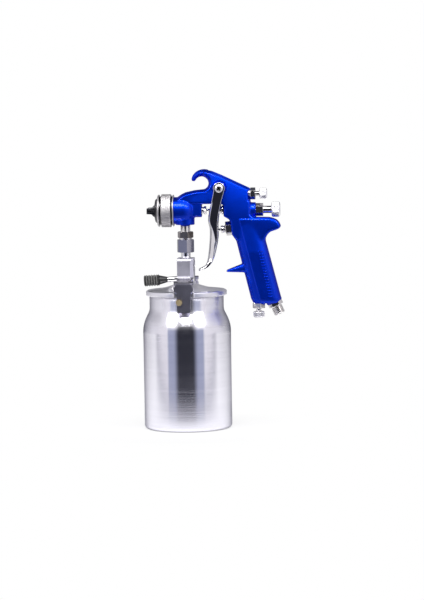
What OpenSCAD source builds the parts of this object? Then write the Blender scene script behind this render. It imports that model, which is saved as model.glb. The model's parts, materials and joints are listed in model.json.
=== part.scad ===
// Suction-feed spray gun with a one litre cup. The spray leaves towards -X and the handle is at +X.
// The origin is the middle of the cup's base, where the gun stands on a table.

/* [Cup] */
// Outside diameter of the cup
cup_d = 100; // [97:1:103]
// Height of the cup's rim above the table
cup_h = 155; // [150:1:160]
// Outside diameter of the cup's neck
neck_d = 84.4; // [83:0.2:85]
// Wall thickness of the cup
cup_wall = 1.3; // [1:0.1:1.8]
// Radius of the rounded corner at the cup's base
cup_corner = 4.5; // [3:0.5:6]

/* [Lid] */
// Outside diameter of the lid's rim
lid_d = 91.8; // [91:0.2:93]
// How far the yoke drops when the cam lever lets it go
yoke_drop = 1.2; // [0.8:0.1:1.3]
// How far the cam lever swings, in degrees
lever_swing = 38; // [30:1:38]
// Outside diameter of the siphon tube
siphon_d = 11; // [10:0.2:11]

/* [Gun] */
// Height of the spray axis above the cup's rim
axis_rise = 93; // [92:1:98]
// Half thickness of the cast body at its neck
body_half = 10; // [9:0.5:10]
// Half thickness of the handle
grip_half = 13; // [12:0.5:14]
// Radius of the round edges of the cast body
edge_r = 2.4; // [1.5:0.1:2.6]
// Radius of the head that carries the nozzle
head_r = 15.3; // [15:0.1:15.4]
// Outside radius of the air cap ring
ring_r = 18.7; // [18:0.1:19.5]
// Thickness of the trigger's plate
trigger_t = 2.2; // [1.8:0.1:2.3]
// Radius of the needle
needle_r = 1.5; // [1.2:0.1:1.6]
// Radius of the air inlet's thread
inlet_thread_r = 6.58; // [6.5:0.02:6.6]

/* [Hidden] */
$fn = 64;
gap = 0.3;
slide_gap = 0.05;
cup_r = cup_d / 2;
neck_r = neck_d / 2;
lid_r = lid_d / 2;
tube_r = siphon_d / 2;
axis_z = cup_h + axis_rise;

// Places on the gun are given from the spray axis, as [x, height]
pivot = [39.4, 25];
hook_eye = [19.3, 31.4];
hook_eye_r = 7.9;
fan_z = 18.3;
valve_tilt = 7;
valve_seat = [52.6, -20.6];
regulator_x = 82.3;
inlet_tilt = 24;
inlet_hex = [101.3, -107.6];
trigger_inner = body_half + 0.6;
trigger_outer = trigger_inner + trigger_t;
stud_x = 4.9;
stud_z = -8.5;
stud_r = 2.5;
yoke_top = 39;
yoke_t = 3;
leg_in = 12;
arm_in = lid_r + 0.9;
arm_t = 2.6;

// Helpers

function unit(v) = v / norm(v);
function at_angle(r, a) = [r * cos(a), r * sin(a)];
function arc(c, r, a0, a1, n) = [for (i = [0:n]) c + at_angle(r, a0 + (a1 - a0) * i / n)];
function reversed(p) = [for (i = [len(p) - 1:-1:0]) p[i]];

// The outline p, drawn anticlockwise, moved inwards by d
function inset(p, d) = [
  for (i = [0:len(p) - 1])
    let (
      m = len(p),
      u = unit(p[i] - p[(i + m - 1) % m]),
      v = unit(p[(i + 1) % m] - p[i]),
      n1 = [-u.y, u.x],
      n2 = [-v.y, v.x]
    )
    p[i] + d * (n1 + n2) / (1 + n1 * n2)
];

// A smooth curve through the points p, with k steps between each two
function through(p, k) = [
  for (i = [0:len(p) - 2], j = [0:k - 1])
    let (
      a = p[max(i - 1, 0)],
      b = p[i],
      c = p[i + 1],
      d = p[min(i + 2, len(p) - 1)],
      t = j / k
    )
    b + t * ((c - a) / 2 + t * ((a - 2.5 * b + 2 * c - d / 2) + t * (1.5 * (b - c) + (d - a) / 2))),
  p[len(p) - 1]
];

// A closed skin over rings that have the same number of points
module skin(rings) {
  n = len(rings[0]);
  m = len(rings);
  polyhedron(
    points = [for (ring = rings) each ring],
    faces = [
      [for (j = [n - 1:-1:0]) j],
      for (i = [0:m - 2], j = [0:n - 1]) [i * n + j, i * n + (j + 1) % n, (i + 1) * n + (j + 1) % n],
      for (i = [0:m - 2], j = [0:n - 1]) [i * n + j, (i + 1) * n + (j + 1) % n, (i + 1) * n + j],
      [for (j = [0:n - 1]) (m - 1) * n + j]
    ]
  );
}

// A plate with round edges: an outline of [x, height] that reaches h to each side of y = 0.
// A flat core fills a band that runs round it
module round_plate(outline, h, r, steps = 3) {
  front = [for (i = [0:steps]) [h - r + r * cos(90 * i / steps), r * (1 - sin(90 * i / steps))]];
  levels = concat([for (e = front) [-e[0], e[1]]], [for (i = [steps:-1:0]) front[i]]);
  band = concat(levels, [[h - 1, r + 1], [1 - h, r + 1]]);
  n = len(outline);
  m = len(band);
  polyhedron(
    points = [for (e = band) each [for (p = inset(outline, e[1])) [p.x, e[0], p.y]]],
    faces = [
      for (i = [0:m - 1], j = [0:n - 1])
        [i * n + j, i * n + (j + 1) % n, (i + 1) % m * n + (j + 1) % n, (i + 1) % m * n + j]
    ]
  );
  translate([0, h, 0]) rotate([90, 0, 0]) linear_extrude(2 * h) polygon(inset(outline, r - 0.37));
}

module on_axis() {
  translate([0, 0, axis_z]) children();
}

module on_rim() {
  translate([0, 0, cup_h]) children();
}

// Children drawn along Z come to lie along +X at the height z over the spray axis
module along_x(x = 0, z = 0) {
  translate([x, 0, axis_z + z]) rotate([0, 90, 0]) children();
}

// Children drawn along Z come to lie along the air valve, which rises a little to the rear
module along_valve() {
  along_x(valve_seat.x, valve_seat.y) rotate([0, -valve_tilt, 0]) children();
}

// Children drawn along Z come to lie along the air inlet, which points down and to the rear
module along_inlet() {
  translate([inlet_hex.x, 0, axis_z + inlet_hex.y]) rotate([0, 180 - inlet_tilt, 0]) children();
}

// Children drawn along Z come to lie along the slanted lever, which points to the front
module along_lever() {
  translate([0, 0, cup_h + 15.8]) rotate([0, -93, 0]) children();
}

module rod(r, z0, z1) {
  translate([0, 0, z0]) cylinder(r = r, h = z1 - z0);
}

module cone(r0, r1, z0, z1) {
  translate([0, 0, z0]) cylinder(r1 = r0, r2 = r1, h = z1 - z0);
}

module hex(flats, z0, z1, turn = 0) {
  translate([0, 0, z0]) rotate([0, 0, 30 + turn]) cylinder(r = flats / sqrt(3), h = z1 - z0, $fn = 6);
}

// A turned knob with flutes round its rim, and its crown at z1
module fluted_knob(r, z0, z1, crown, flutes) {
  difference() {
    rotate_extrude()
      polygon(concat(
        [[0, z0], [r - 1, z0], [r, z0 + 1], [r, z1 - crown]],
        [for (i = [1:5]) [(r - 1) * cos(18 * i), z1 - crown + crown * sin(18 * i)]]
      ));
    for (i = [0:flutes - 1])
      rotate([0, 0, 360 * i / flutes])
        translate([r + 0.35, 0, z0 - 1]) cylinder(r = 0.8, h = z1 - z0 + 2, $fn = 24);
  }
}

// A coil spring: one unbroken tube of wire about the Z axis
module coil(r, wire, z0, z1, turns) {
  steps = 14;
  pitch = (z1 - z0 - 2 * wire) / turns;
  echo(coil_gap = pitch - 2 * wire);
  skin([
    for (i = [0:turns * steps])
      let (a = -360 * i / steps, z = z0 + wire + pitch * i / steps)
      [
        for (j = [0:5])
          let (p = at_angle(r + wire * cos(60 * j), a))
          [p.x, p.y, z + wire * sin(60 * j)]
      ]
  ]);
}

// Cup

module cup() {
  shoulder_z = cup_h - 43;
  shoulder_h = 17.8;
  function wall_line(w) = concat(
    [[0, w]],
    arc([cup_r - cup_corner, cup_corner], cup_corner - w, -90, 0, 6),
    [
      for (i = [0:8])
        [neck_r - w + (cup_r - neck_r) * cos(8 * i), shoulder_z - w / 3 + shoulder_h * sin(8 * i)]
    ],
    [[neck_r + 0.6 - w, cup_h - 21.4], [neck_r - w, cup_h - 19.6], [neck_r - w, cup_h]]
  );
  color("silver") rotate_extrude() polygon(concat(wall_line(0), reversed(wall_line(cup_wall))));
}

module cup_stud() {
  translate([-stud_x, 0, cup_h + stud_z]) rotate([90, 0, 0]) {
    rod(stud_r, neck_r - 0.25, arm_in + arm_t + 1.2);
    rod(4.2, neck_r - 0.05, neck_r + 1.6);
    rod(3.2, arm_in + arm_t + 0.9, arm_in + arm_t + 2.5);
  }
}

module cup_studs() {
  color("goldenrod")
    for (a = [0, 180])
      rotate([0, 0, a])
        difference() {
          cup_stud();
          rod(neck_r + 0.05, 0, cup_h);
        }
}

// Lid and its clamp

module lid() {
  bore = tube_r + slide_gap;
  color("gainsboro") on_rim() difference() {
    union() {
      rotate_extrude()
        polygon([
          [neck_r + 0.7, -3.2], [lid_r - 0.6, -3.2], [lid_r, -2.6], [lid_r, 1.7], [lid_r - 1.9, 3],
          [28.5, 4.8], [23, 6], [15.5, 8.4], [11, 10.2], [10.6, 11.5], [bore, 11.5], [bore, 2],
          [11, 3.4], [24, 2.4], [38, 1.6], [neck_r + 0.7, 1.6]
        ]);
      // Two lugs on each side of the lid keep the yoke's arm in its place
      for (a = [0, 180], x = [-11.2, 9])
        rotate([0, 0, a]) translate([x, -lid_r - 0.4, -3.2]) cube([2.2, 4, 6]);
    }
    // Vent that lets air into the cup
    translate([0, 30, 0]) rod(0.8, 0, 10);
  }
}

module lid_gasket() {
  color("white") on_rim() difference() {
    rod(neck_r + 0.6, slide_gap, 1.55);
    rod(neck_r - 4, -1, 3);
  }
}

module siphon_tube() {
  top = axis_z - 41.5;
  color("gainsboro") difference() {
    union() {
      rod(tube_r, 7, top - 1.5);
      cone(tube_r, 7, top - 3.5, top - 1.5);
      cone(7, 6, top - 1.5, top);
    }
    rod(tube_r - 1.5, 0, top + 1);
    // The foot of the tube is cut at a slant so that it can't seal itself on the base
    translate([0, 0, 7]) rotate([0, 30, 0]) translate([-20, -20, -20]) cube([40, 40, 20]);
  }
}

// The strap of the yoke seen from the front, from the middle of the bridge to the foot of one arm
module strap_half() {
  leg_out = leg_in + yoke_t;
  arm_out = arm_in + arm_t;
  polygon(concat(
    [[-0.01, yoke_top]],
    arc([leg_out - 3, yoke_top - 3], 3, 90, 0, 4),
    arc([leg_out + 4, 19.4], 4, 180, 270, 4),
    arc([arm_out - 0.8, 14.6], 0.8, 90, 0, 4),
    [[arm_out, -20], [arm_in, -20]],
    arc([arm_in - 1.6, 10.8], 1.6, 0, 90, 4),
    arc([leg_in + 7, 19.4], 7, 270, 180, 4),
    [[leg_in, yoke_top - yoke_t], [-0.01, yoke_top - yoke_t]]
  ));
}

// Half of the yoke, with the arm at -Y
module yoke_half() {
  reach = arm_in + arm_t + 1;
  slot_low = stud_z - stud_r - gap;
  slot_high = stud_z + stud_r + gap + yoke_drop;
  difference() {
    intersection() {
      // Strap
      rotate([0, 0, -90]) translate([0, 14, 0]) rotate([90, 0, 0]) linear_extrude(28) strap_half();
      // Widths seen from above
      translate([0, 0, -30]) linear_extrude(80)
        polygon([
          [-9.25, 0.01], [-9.25, -leg_in - yoke_t - 0.2], [-6.5, -leg_in - yoke_t - 2.5], [-6.5, -arm_in + 2],
          [-11, -arm_in + 0.2], [-11, -reach], [11, -reach], [11, -arm_in + 0.2], [6.5, -arm_in + 2],
          [6.5, -leg_in - yoke_t - 2.5], [5.4, -leg_in - yoke_t - 0.1], [9.25, -leg_in - yoke_t + 2.2],
          [9.25, 0.01]
        ]);
    }
    // Outline of the upright plate: a shield with an arched top on a narrow tongue
    translate([0, -arm_in + 0.1, 0]) rotate([90, 0, 0]) linear_extrude(10) difference() {
      translate([-20, -25]) square(50);
      polygon([
        [-5.6, -21], [5.6, -21], [7.6, -18], [7.6, 2.5], [11, 4.5], [10.7, 8], [9.3, 11.4], [7, 14],
        [4.6, 15.6], [-4.6, 15.6], [-7, 14], [-9.3, 11.4], [-10.7, 8], [-11, 4.5], [-7.6, 2.5], [-7.6, -18]
      ]);
    }
    // Hook that holds the cup's stud, open to one side
    translate([0, -arm_in + 5, 0]) rotate([90, 0, 0]) linear_extrude(20) {
      translate([-20, slot_low]) square([20 - stud_x, slot_high - slot_low]);
      translate([-stud_x, (slot_low + slot_high) / 2]) circle(r = (slot_high - slot_low) / 2);
    }
  }
}

module yoke() {
  color("dimgray") on_rim() difference() {
    union() {
      for (a = [0, 180]) rotate([0, 0, a]) yoke_half();
      // Followers that ride on the lever's ramps
      for (s = [-1, 1]) translate([-0.4, s * 8 - 1.3, yoke_top - yoke_t - 1]) cube([0.8, 2.6, 1.5]);
    }
    rod(tube_r + 0.7, yoke_top - 10, yoke_top + 1);
  }
}

// A ramp on the lever's collar: a slice of a ring, whose top rises by yoke_drop over lever_swing
module cam_ramp() {
  steps = 6;
  from = 90 - lever_swing - 4;
  to = 95;
  high = yoke_top - yoke_t - 1 - gap;
  skin([
    for (i = [0:steps])
      let (
        a = from + (to - from) * i / steps,
        top = high + yoke_drop * (a - 92) / lever_swing,
        d = [cos(a), sin(a)]
      )
      [
        [6.7 * d.x, 6.7 * d.y, 29], [9.3 * d.x, 9.3 * d.y, 29], [9.3 * d.x, 9.3 * d.y, top],
        [6.7 * d.x, 6.7 * d.y, top]
      ]
  ]);
}

module cam_lever() {
  color("silver") {
    difference() {
      union() {
        on_rim() rod(9.6, 11.8, 30);
        along_lever() rod(3, 0, 30);
        along_lever() cone(3, 5.2, 21, 30.2);
      }
      on_rim() rod(tube_r + 0.2, 0, 40);
    }
    on_rim() for (a = [0, 180]) rotate([0, 0, a]) cam_ramp();
    along_lever() rod(2.4, 30, 46);
  }
}

module lever_grip() {
  color("black") along_lever() difference() {
    rotate_extrude()
      polygon([[0, 30.4], [5.4, 30.4], [6.55, 31.6], [6.55, 46.6], [5.4, 48.1], [0, 48.1]]);
    rod(2.4 + slide_gap, 30, 46.1);
  }
}

// Cast body

// Outline of the flat upper body: up the rear, over the hook's root to the head, back under the neck,
// down to the grip and round the tang
function plate_outline() = concat(
  [[84, -8.4], [78, -8.4], [74.4, -5], [74.4, 24.4]],
  [[30.1, 45.6], [22.6, 46.6]],
  arc(hook_eye, hook_eye_r, 78, -68, 10),
  [[11.3, 23], [0.5, 20.6], [-4.2, 18.3], [-9, 14.8]],
  [[-9, 7.2]],
  arc([40.5, 3.7], 3.5, 90, 0, 4),
  [[44, -6.9], [49.9, -10.4], [51.6, -14], [52.9, -27.5], [57.4, -34.4], [90.6, -34.4]],
  through([
    [91.6, -31.2], [96, -25.6], [103.5, -22.9], [108.3, -19.3], [104.2, -11.9], [95.6, -8.7]
  ], 3)
);

// The round back of the head
module head_back() {
  sides = 36;
  line = concat([[-10.4, head_r - 0.06]], [for (p = arc([-3, 0], head_r - 0.06, 90, 8, 8)) p]);
  skin([
    for (p = reversed(line))
      [for (j = [0:sides - 1]) [p.x, p.y * cos(360 * j / sides), p.y * sin(360 * j / sides)]]
  ]);
}

// The hook's band, which thins towards its tip
module hook() {
  last = 157;
  skin([
    for (a = [last + 8, last + 6, each [last:-11.5:last - 92]])
      let (
        rise = (157 - a) * 0.051,
        tip = a > last ? (a - last) / 8 * 0.9 : 0,
        inner = hook_eye_r,
        outer = 12.7 + rise,
        mid = (inner + outer) / 2,
        half = (outer - inner) / 2 * sqrt(1 - tip * tip),
        wide = (4.6 + rise * 0.7) * sqrt(1 - tip * tip)
      )
      [
        for (j = [0:11])
          let (
            u = cos(30 * j),
            v = sin(30 * j),
            r = mid + half * sign(u) * sqrt(abs(u)) * pow(abs(u), 0.2)
          )
          [hook_eye.x + r * cos(a), wide * sign(v) * pow(abs(v), 0.7), hook_eye.y + r * sin(a)]
      ]
  ]);
}

// The handle: level slices between its front and rear edges
module handle() {
  tops = [-16, -26, -36, -48, -62, -76, -90, -101, -104.6, -106.2];
  skin([
    for (z = tops)
      let (
        low = min(0, z + 101),
        shrink = low * low * 0.07,
        front = 57.4 + 0.2416 * (-34.4 - z) + shrink,
        rear = 91.2 + 0.2548 * (-34.6 - z) - shrink,
        wide = (body_half + (grip_half - body_half) * min(1, (-16 - z) / 30)) - shrink
      )
      [
        for (j = [0:31])
          let (u = cos(11.25 * j), v = sin(11.25 * j))
          [
            (front + rear) / 2 + (rear - front) / 2 * sign(u) * pow(abs(u), 0.72),
            wide * sign(v) * pow(abs(v), 0.72),
            z
          ]
      ]
  ]);
}

// Spur below the second finger: upright slices from its root in the handle to its tip
module finger_spur() {
  tip = 46.1;
  root = 64.2;
  skin([
    for (x = [root + 5.3, root - 1, root - 8, tip + 3, tip + 0.9, tip])
      let (
        t = (x - tip) / (root - tip),
        end = x < tip + 0.5 ? 0.55 : 1,
        top = -68.2 + 7.2 * t,
        foot = -70.4 - 0.7 * t,
        half = (top - foot) / 2 * end,
        wide = (6.6 + 2.4 * t) * (end + 1) / 2
      )
      [
        for (j = [0:15])
          let (u = cos(22.5 * j), v = sin(22.5 * j))
          [x, wide * sign(u) * pow(abs(u), 0.5), (top + foot) / 2 + half * sign(v) * pow(abs(v), 0.6)]
      ]
  ]);
}

module gun_body() {
  color("royalblue") difference() {
    union() {
      along_x() rod(head_r, -24, -9.6);
      on_axis() head_back();
      // Boss for the fluid inlet
      on_axis() rod(10.6, -16.3, 0);
      // Boss for the needle packing, and the block that joins it to the neck
      along_x() rod(7.9, 0, 19.1);
      on_axis() translate([3, -8.6, -6.2]) cube([15.6, 17.2, 19]);
      on_axis() round_plate(plate_outline(), body_half, edge_r);
      on_axis() hook();
      on_axis() handle();
      on_axis() finger_spur();
      // Boss for the fluid control
      along_x() rod(8.4, 66, 80.3);
      // Boss round the air valve
      along_valve() rod(8.8, 0, 12);
      // Boss for the air inlet
      along_inlet() rod(9.2, -16, -2.4);
    }
    // Air space in the head, round the nozzle's seat
    along_x() rotate_extrude() translate([7, -24.5]) square([5.4, 7.5]);
    // Nozzle seat, fluid chamber and packing
    along_x() rod(5, -25, -8);
    along_x() rod(3.4, -9, 10);
    along_x() rod(4.6, 9, 20);
    on_axis() rod(tube_r + slide_gap, -17, -7);
    on_axis() rod(3.4, -8, 0);
    // Needle bush and the chamber of the needle spring
    along_x() rod(5.3, 40, 43.95);
    along_x() rod(4.8, 43, 52);
    along_x() rod(4.4, 51, 55);
    along_x() rod(6.2, 54, 81);
    // Fan air valve, and the fan air's way to the head
    along_x(0, fan_z) rod(5, 61, 76);
    along_x(0, fan_z) rod(2.9, 48, 62);
    on_axis() translate([50, 0, 0]) rod(2, 12.5, fan_z);
    along_x(0, 12.6) rod(2, -20, 51);
    // Trigger pivot
    translate([pivot.x, 0, axis_z + pivot.y]) rotate([90, 0, 0]) rod(3.05, -20, 20);
    // Air valve, and the way of the air up the handle
    along_valve() rod(6.1, -2, 33);
    along_valve() rod(9.4, -8, 0);
    translate([91.5, 0, axis_z - 100]) rotate([0, -14, 0]) rod(4.4, 0, 80);
    translate([regulator_x, 0, axis_z]) rod(5, -108, -85);
    along_inlet() rod(5.9, -14, 0);
    along_inlet() rod(9.6, -2.45, 8);
    along_inlet() rod(4.2, -20, 0);
  }
}

// Spray head

module fluid_nozzle() {
  color("lightgray") along_x() difference() {
    rotate_extrude()
      polygon([
        [0, -34.4], [1.7, -34.4], [1.9, -32.8], [5.5, -28], [8.2, -27.6], [8.2, -25.3], [6.4, -25.3],
        [6.4, -24.6], [5 - slide_gap, -24.6], [5 - slide_gap, -10], [0, -10]
      ]);
    rod(0.9, -35, -31);
    cone(0.9, 3, -32, -26);
    rod(3, -26.01, -9);
  }
}

module nozzle_gasket() {
  color("white") along_x() difference() {
    rod(6.4, -24.55, -24.05);
    rod(5.05, -25, -24);
  }
}

// Half of the air cap's pair of horns, with the horn at -Y
module horn() {
  difference() {
    rotate([90, 0, 0]) linear_extrude(14)
      polygon([
        [-31, -7.5], [-31, 7.5], [-34.8, 6.4], [-37.6, 3.5], [-42.9, 3.2], [-42.9, -3.2], [-37.6, -3.5],
        [-34.8, -6.4]
      ]);
    translate([-50, -7.6, -20]) rotate([0, 0, 11]) cube([60, 30, 40]);
    // Side air hole that aims at the spray
    translate([-40.2, -9, 0]) rotate([90, 0, 25]) cylinder(r = 0.6, h = 12, center = true, $fn = 24);
  }
}

module air_cap() {
  color("dimgray") difference() {
    union() {
      along_x() rotate_extrude()
        polygon([
          [0, -35.2], [5.5, -35.2], [12.4, -33.8], [13.7, -32.6], [13.7, -28.4], [15.1, -28.4], [15.1, -25.6],
          [0, -25.6]
        ]);
      on_axis() intersection() {
        for (a = [0, 180]) rotate([a, 0, 0]) horn();
        rotate([0, 90, 0]) rod(12.9, -44, -30);
      }
    }
    along_x() rotate_extrude()
      polygon([[0, -25.5], [11.8, -25.5], [11.8, -29.6], [6.4, -30.2], [2.5, -33.4], [2.3, -36], [0, -36]]);
    // Small air holes beside the nozzle
    for (a = [0:90:270])
      along_x() rotate([0, 0, a + 45]) translate([5, 0, -36]) cylinder(r = 0.5, h = 6, $fn = 24);
  }
}

module air_cap_ring() {
  color("silver") along_x() difference() {
    rotate_extrude()
      polygon([
        [13.9, -31.2], [17.2, -31.2], [18.2, -30.2], [18.2, -28.6], [ring_r - 1, -27.8],
        [ring_r - 1, -27.3], [ring_r, -26.6], [ring_r, -15.8], [ring_r - 1, -15.1], [ring_r - 1, -14.6],
        [18.2, -14], [17.6, -12.5], [head_r + 0.1, -12.5], [head_r + 0.1, -28.7], [13.9, -28.7]
      ]);
    for (i = [0:35])
      rotate([0, 0, 10 * i]) translate([ring_r + 0.5, 0, -27]) cylinder(r = 0.9, h = 11.6, $fn = 24);
  }
}

// Needle and fluid control

module fluid_needle() {
  color("silver") along_x() {
    cone(0.35, needle_r, -33.9, -29.6);
    rod(needle_r, -29.6, 67.6);
  }
}

module needle_collar() {
  color("silver") along_x() difference() {
    union() {
      rod(4, 32.4, 55.6);
      rod(5.8, 55.6, 57.6);
      rod(2.6, 57.6, 66);
    }
    rod(needle_r + slide_gap, 30, 70);
  }
}

module needle_packing() {
  color("white") along_x() difference() {
    rod(4.55, 10.1, 14.4);
    rod(needle_r + slide_gap, 9, 20);
  }
}

module packing_nut() {
  color("silver") along_x() difference() {
    union() {
      rod(4.55, 14.5, 19.3);
      rod(3.6, 19.3, 21.6);
      hex(9, 21.5, 24);
    }
    rod(needle_r + 0.1, 10, 30);
  }
}

module needle_bush() {
  color("silver") along_x() difference() {
    union() {
      rod(4.75, 43.9, 50.9);
      rod(5.2, 41.5, 43.9);
    }
    rod(4.06, 40, 60);
  }
}

module needle_spring() {
  color("silver") along_x() coil(4.9, 0.55, 57.8, 71.8, 7);
}

module fluid_nut() {
  color("dimgray") along_x() difference() {
    union() {
      rod(6.15, 72, 81);
      hex(12.8, 80.4, 88.7, 30);
    }
    rod(4.2, 70, 90);
  }
}

module fluid_screw() {
  color("silver") along_x() rod(4.15, 74.5, 104);
}

module fluid_knob() {
  color("silver") along_x() difference() {
    fluted_knob(8.5, 98.3, 108, 2.2, 20);
    rod(4.2, 97, 104.1);
  }
}

// Fan control

module fan_valve_body() {
  color("silver") along_x(0, fan_z) difference() {
    union() {
      rod(4.95, 62.5, 75);
      hex(12, 74.5, 80.1, 30);
    }
    rod(2.55, 60, 90);
  }
}

module fan_valve_stem() {
  color("silver") along_x(0, fan_z) {
    cone(0.8, 2.5, 52, 55);
    rod(2.5, 55, 90);
  }
}

module fan_knob() {
  color("silver") along_x(0, fan_z) difference() {
    union() {
      fluted_knob(6.05, 85.3, 93.3, 1.2, 16);
      cone(2.9, 4.6, 83.2, 85.4);
    }
    rod(2.55, 80, 90.1);
  }
}

// Trigger

// Front edge of the trigger, from its web's top to its flicked-out toe
function trigger_front() = through([
  [30.6, 8.6], [27.9, -0.1], [26.4, -11.5], [28.2, -23], [26.9, -42.4], [24.4, -58.4], [21, -63.4],
  [14.7, -66.6]
], 4);

// Rear edge of the trigger's side plates
function trigger_rear() = through([
  [41.4, 8.6], [38.3, -6], [37.1, -18], [37.1, -31], [33.5, -49.3], [28.6, -61.4], [22.4, -66.1],
  [16, -67.8]
], 4);

module trigger_side() {
  polygon(concat(trigger_front(), reversed(trigger_rear()), arc(pivot, 6.6, -8, 205, 12)));
}

module trigger() {
  front = trigger_front();
  m = len(front);
  back = [
    for (i = [0:m - 1])
      let (d = unit(front[min(i + 1, m - 1)] - front[max(i - 1, 0)]))
      front[i] + trigger_t * [-d.y, d.x]
  ];
  color("silver") on_axis() difference() {
    union() {
      for (s = [-1, 1])
        translate([0, s * (trigger_inner + trigger_t / 2) + trigger_t / 2, 0])
          rotate([90, 0, 0]) linear_extrude(trigger_t) trigger_side();
      // Web that joins the sides, kept clear of the neck above it
      difference() {
        translate([0, trigger_outer, 0]) rotate([90, 0, 0]) linear_extrude(2 * trigger_outer)
          polygon(concat(front, reversed(back)));
        translate([20, -trigger_inner, 4.8]) cube([30, 2 * trigger_inner, 10]);
      }
    }
    translate([pivot.x, 0, pivot.y]) rotate([90, 0, 0]) rod(3.06, -20, 20);
    // Slot for the needle
    translate([20, -2.8, -3.2]) cube([16, 5.6, 9]);
  }
}

module trigger_screw() {
  color("silver") translate([pivot.x, 0, axis_z + pivot.y]) rotate([90, 0, 0]) difference() {
    union() {
      rod(3, -trigger_outer - 1.8, trigger_outer + gap);
      rotate_extrude()
        polygon([
          [0, trigger_outer + gap], [4.75, trigger_outer + gap], [4.75, trigger_outer + 1.4],
          [3.6, trigger_outer + 2.4], [0, trigger_outer + 2.7]
        ]);
    }
    for (a = [0, 90]) rotate([0, 0, a]) translate([-2.6, -0.55, trigger_outer + 1.5]) cube([5.2, 1.1, 3]);
  }
}

module trigger_nut() {
  color("silver") translate([pivot.x, 0, axis_z + pivot.y]) rotate([-90, 0, 0]) difference() {
    hex(9, trigger_outer + gap, trigger_outer + 2.7);
    rod(3.04, 0, trigger_outer + 1.9);
  }
}

// Air valve

module air_valve_body() {
  color("silver") along_valve() difference() {
    union() {
      rod(6.05, -0.5, 9);
      hex(14.3, -6.6, -slide_gap, 30);
      cone(3.2, 5.2, -8.4, -6.6);
    }
    rod(1.5, -10, 10);
    rod(3.4, -9, -3);
  }
}

module air_valve_packing() {
  color("white") along_valve() difference() {
    rod(3.35, -6, -3.05);
    rod(1.45, -10, 10);
  }
}

module air_valve_gland() {
  color("silver") along_valve() difference() {
    union() {
      rod(3.35, -9, -6.05);
      rod(4.25, -12, -9);
    }
    rod(1.5, -20, 10);
  }
}

module air_valve_stem() {
  color("silver") along_valve() {
    cone(0.8, 1.4, -21.8, -20.8);
    rod(1.4, -20.8, 14);
  }
}

module air_valve_disc() {
  color("silver") along_valve() difference() {
    union() {
      cone(3, 5, 9.4, 11.4);
      rod(5, 11.4, 13);
      rod(2.2, 13, 17);
    }
    rod(1.4 + slide_gap, 0, 14.05);
  }
}

module air_valve_spring() {
  color("silver") along_valve() coil(3.6, 0.5, 13.2, 32.6, 9);
}

// Air inlet and its regulator

module regulator_body() {
  color("silver") translate([regulator_x, 0, axis_z]) difference() {
    union() {
      rod(4.95, -107, -93);
      hex(13, -112.1, -106.3, 14);
    }
    rod(3, -120, -80);
  }
}

module regulator_stem() {
  color("silver") translate([regulator_x, 0, axis_z]) {
    rod(2.95, -120, -91);
    cone(2.95, 1, -91, -89);
  }
}

module regulator_knob() {
  color("silver") translate([regulator_x, 0, axis_z]) difference() {
    translate([0, 0, -115.5]) rotate([180, 0, 0]) fluted_knob(6.5, 0, 7.3, 1.2, 16);
    rod(3, -120.1, -110);
  }
}

module air_inlet() {
  color("silver") along_inlet() difference() {
    union() {
      rod(5.85, -12, -2);
      hex(15, -2.4, 2.2);
      rod(5.9, 2, 3.4);
      rod(inlet_thread_r, 3.2, 11.4);
      cone(inlet_thread_r, inlet_thread_r - 0.8, 11.4, 12.2);
    }
    rod(4, -20, 20);
  }
}

// Fluid inlet and the joint to the cup

module fluid_inlet() {
  color("silver") on_axis() difference() {
    union() {
      rod(tube_r, -24.2, -8);
      rod(7.35, -41.2, -24.2);
    }
    rod(3.5, -50, 0);
    cone(6.4, 3.5, -41.3, -38);
  }
}

module inlet_lock_nut() {
  color("silver") on_axis() difference() {
    intersection() {
      rotate([0, 0, 20]) hex(16, -31.1, -23.9);
      rotate_extrude()
        polygon([[0, -31.1], [8.2, -31.1], [9.6, -30.3], [9.6, -24.7], [8.2, -23.9], [0, -23.9]]);
    }
    rod(7.4, -40, -24.2 + 0.05);
    rod(tube_r + slide_gap, -40, -20);
  }
}

module union_nut() {
  color("silver") on_axis() difference() {
    intersection() {
      rotate([0, 0, 11]) hex(18, -47.6, -32.8);
      rotate_extrude()
        polygon([[0, -47.6], [9, -47.6], [10.8, -46.6], [10.8, -33.8], [9, -32.8], [0, -32.8]]);
    }
    rod(tube_r + gap, -50, -30);
    rod(7.45, -45.2, -30);
  }
}

gun_body();
fluid_nozzle();
nozzle_gasket();
air_cap();
air_cap_ring();
fluid_needle();
needle_collar();
needle_packing();
packing_nut();
needle_bush();
needle_spring();
fluid_nut();
fluid_screw();
fluid_knob();
fan_valve_body();
fan_valve_stem();
fan_knob();
trigger();
trigger_screw();
trigger_nut();
air_valve_body();
air_valve_gland();
air_valve_packing();
air_valve_stem();
air_valve_disc();
air_valve_spring();
regulator_body();
regulator_stem();
regulator_knob();
air_inlet();
fluid_inlet();
inlet_lock_nut();
union_nut();
siphon_tube();
lid();
lid_gasket();
yoke();
cam_lever();
lever_grip();
cup();
cup_studs();
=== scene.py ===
# %% [markdown]
# # A suction-feed spray gun, dressed for its picture
#
# The CAD model already holds every part of the gun at its true size and place. Blender adds what a CAD
# solid lacks: cast fillets, turned and knurled surfaces, paint and plating. Nothing is scaled or fitted
# here, because both models share one frame in metres, with the middle of the cup's base at the origin.

# %% Load the CAD frame
import json
import math

import bpy
from mathutils import Matrix, Vector
from mathutils.kdtree import KDTree


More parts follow.
